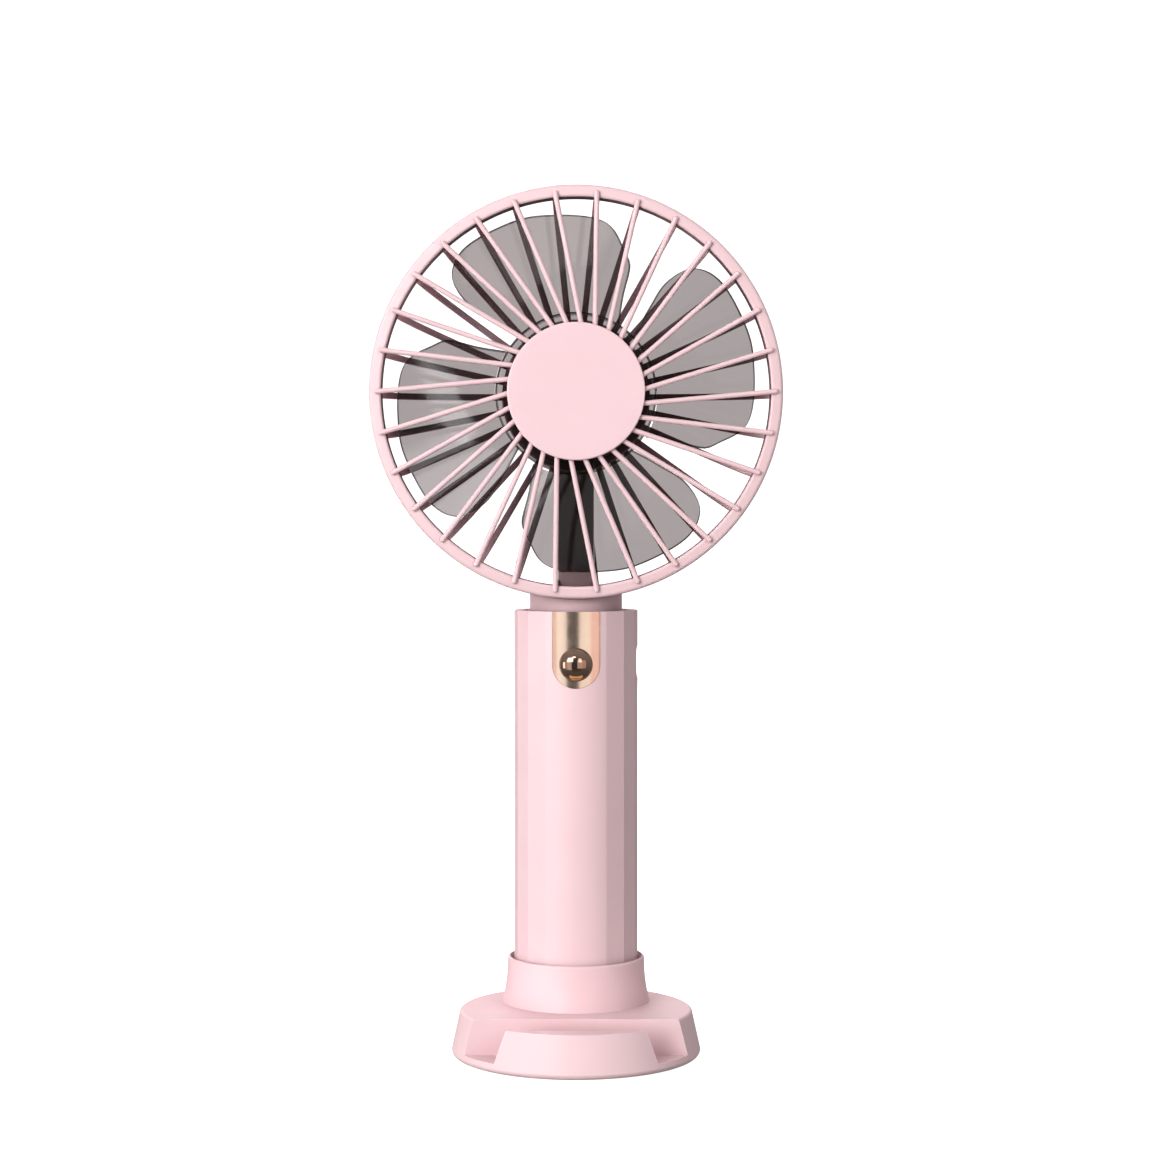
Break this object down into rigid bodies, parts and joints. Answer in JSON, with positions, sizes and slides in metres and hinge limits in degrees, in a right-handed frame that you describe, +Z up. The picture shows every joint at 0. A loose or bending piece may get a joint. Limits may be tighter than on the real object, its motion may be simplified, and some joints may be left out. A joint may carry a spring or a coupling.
{
  "type": "handheld electric fan",
  "caption": "Handheld electric fan with a round caged head, clear blades and a faceted handle, standing in a round dock with a phone slot.",
  "frame": {"origin": "centre of the round stand's underside", "axes": "+Z up along the handle, the front grille faces -Y, +X to the right seen from the front"},
  "size_m": [0.088, 0.053, 0.1851],
  "materials": {
    "pink_plastic": "satin pale pink moulding",
    "pink_satin": "smoother satin pale pink",
    "smoky_plastic": "clear smoky grey, glossy",
    "gold_plate": "polished rose gold",
    "bronze_mirror": "polished bronze gold",
    "pad_rubber": "matt dark grey",
    "screw_steel": "plain machined steel",
    "cell_wrap": "shrink wrap, green",
    "nickel": "nickel plate",
    "board_green": "solder mask green",
    "black_plastic": "matt black",
    "red_wire": "red insulation",
    "black_wire": "black insulation",
    "motor_steel": "zinc plated steel",
    "ferrite": "dark sintered ferrite",
    "bronze": "sintered bronze",
    "copper": "bare or enamelled copper"
  },
  "bodies": {
    "stand": {"stand_base": "pink_plastic", "stand_pad": "pad_rubber"},
    "fan_body": {"handle_front_shell": "pink_plastic", "handle_rear_shell": "pink_plastic", "handle_end_cap": "pink_plastic", "handle_top_screw": "screw_steel", "handle_bottom_screw": "screw_steel", "trim_plate": "gold_plate", "battery_cell": "cell_wrap", "cell_top_tab": "nickel", "cell_bottom_tab": "nickel", "cell_lead_red": "red_wire", "cell_lead_black": "black_wire", "circuit_board": "board_green", "tact_switch": "black_plastic", "usb_socket": "nickel", "controller_chip": "black_plastic", "power_inductor": "ferrite", "neck": "pink_plastic", "motor_housing": "pink_plastic", "rear_grille": "pink_plastic", "rear_cap": "pink_plastic", "front_grille": "pink_plastic", "hub_cap": "pink_satin", "motor_can": "motor_steel", "motor_end_cap": "black_plastic", "magnet_upper": "ferrite", "magnet_lower": "ferrite", "front_bush": "bronze", "rear_bush": "bronze", "brush_left": "copper", "brush_right": "copper", "motor_screw_left": "screw_steel", "motor_screw_right": "screw_steel", "motor_lead_black": "black_wire", "motor_lead_red": "red_wire"},
    "rotor": {"impeller": "smoky_plastic", "motor_shaft": "screw_steel", "armature_core": "motor_steel", "winding_1": "copper", "winding_2": "copper", "winding_3": "copper", "commutator": "copper"},
    "button": {"button_dome": "bronze_mirror", "switch_plunger": "black_plastic"}
  },
  "joints": [
    {"name": "lift_out", "type": "slide", "parent": "stand", "child": "fan_body", "axis": [0, 0, 1], "range_m": [0, 0.03]},
    {"name": "fan_spin", "type": "hinge", "parent": "fan_body", "child": "rotor", "pos_m": [0, 0.0093, 0.1411], "axis": [0, 1, 0], "continuous": true},
    {"name": "button_press", "type": "slide", "parent": "fan_body", "child": "button", "axis": [0, 1, 0], "range_m": [0, 0.0005], "stiffness_N_per_m": 800, "springref_m": -0.0003}
  ]
}
